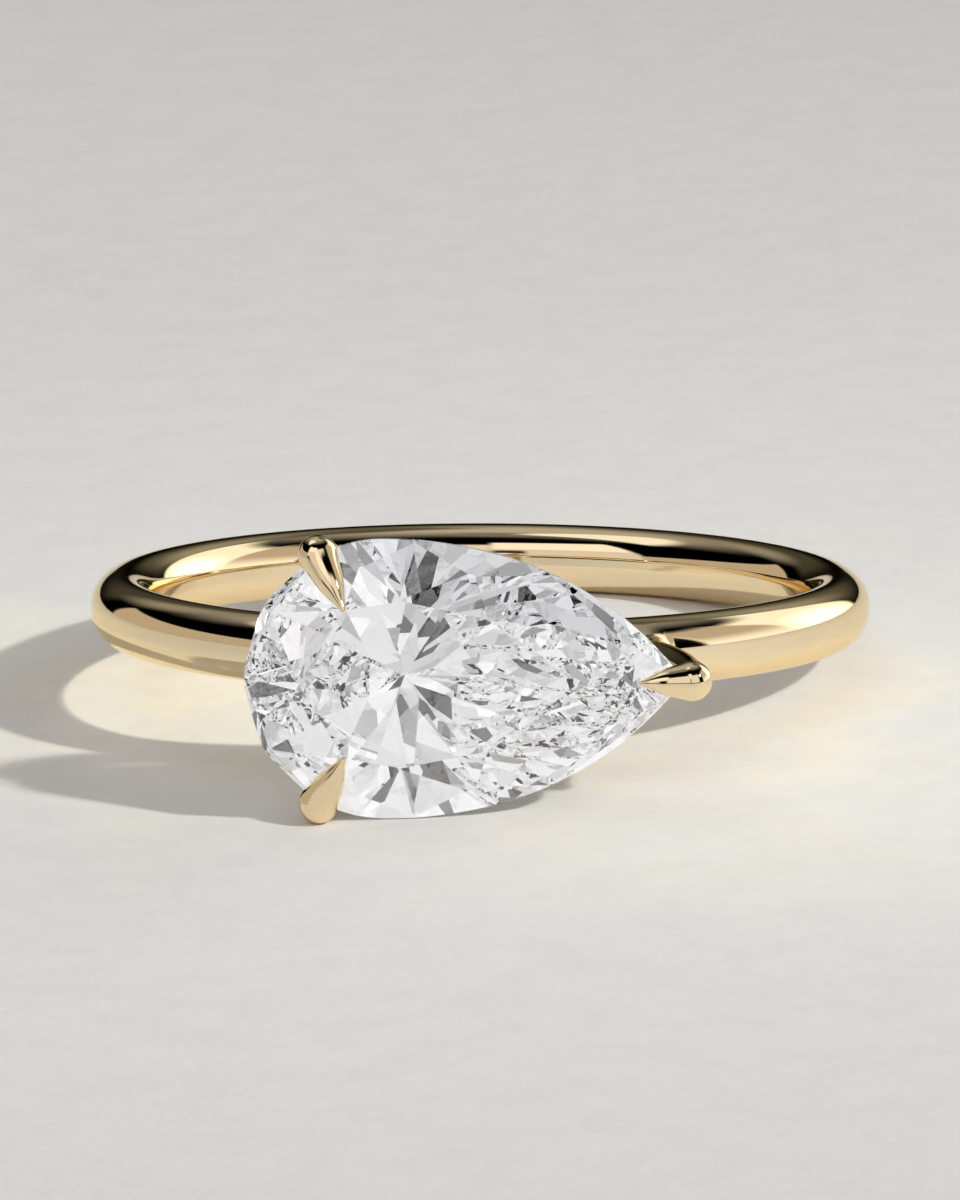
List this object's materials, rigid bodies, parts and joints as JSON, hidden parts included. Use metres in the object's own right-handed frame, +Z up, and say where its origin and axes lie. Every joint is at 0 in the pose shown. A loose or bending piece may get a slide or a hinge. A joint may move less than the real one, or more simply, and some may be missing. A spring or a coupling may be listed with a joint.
{
  "type": "pear solitaire engagement ring",
  "caption": "Yellow gold ring lying on its side, a slim oval shank with a pear-cut stone set crosswise under pointed claws.",
  "frame": {"origin": "on the surface that the ring lies on, below the middle of its box", "axes": "+Z up from the surface; -Y from the back of the shank to the stone; +X along the stone from its round end to its point"},
  "size_m": [0.02, 0.0242, 0.0071],
  "materials": {
    "gold": "mirror-polished yellow gold",
    "diamond": "polished facets, colourless"
  },
  "bodies": {
    "root": {"ring_mount": "gold", "pear_stone": "diamond"}
  },
  "joints": []
}
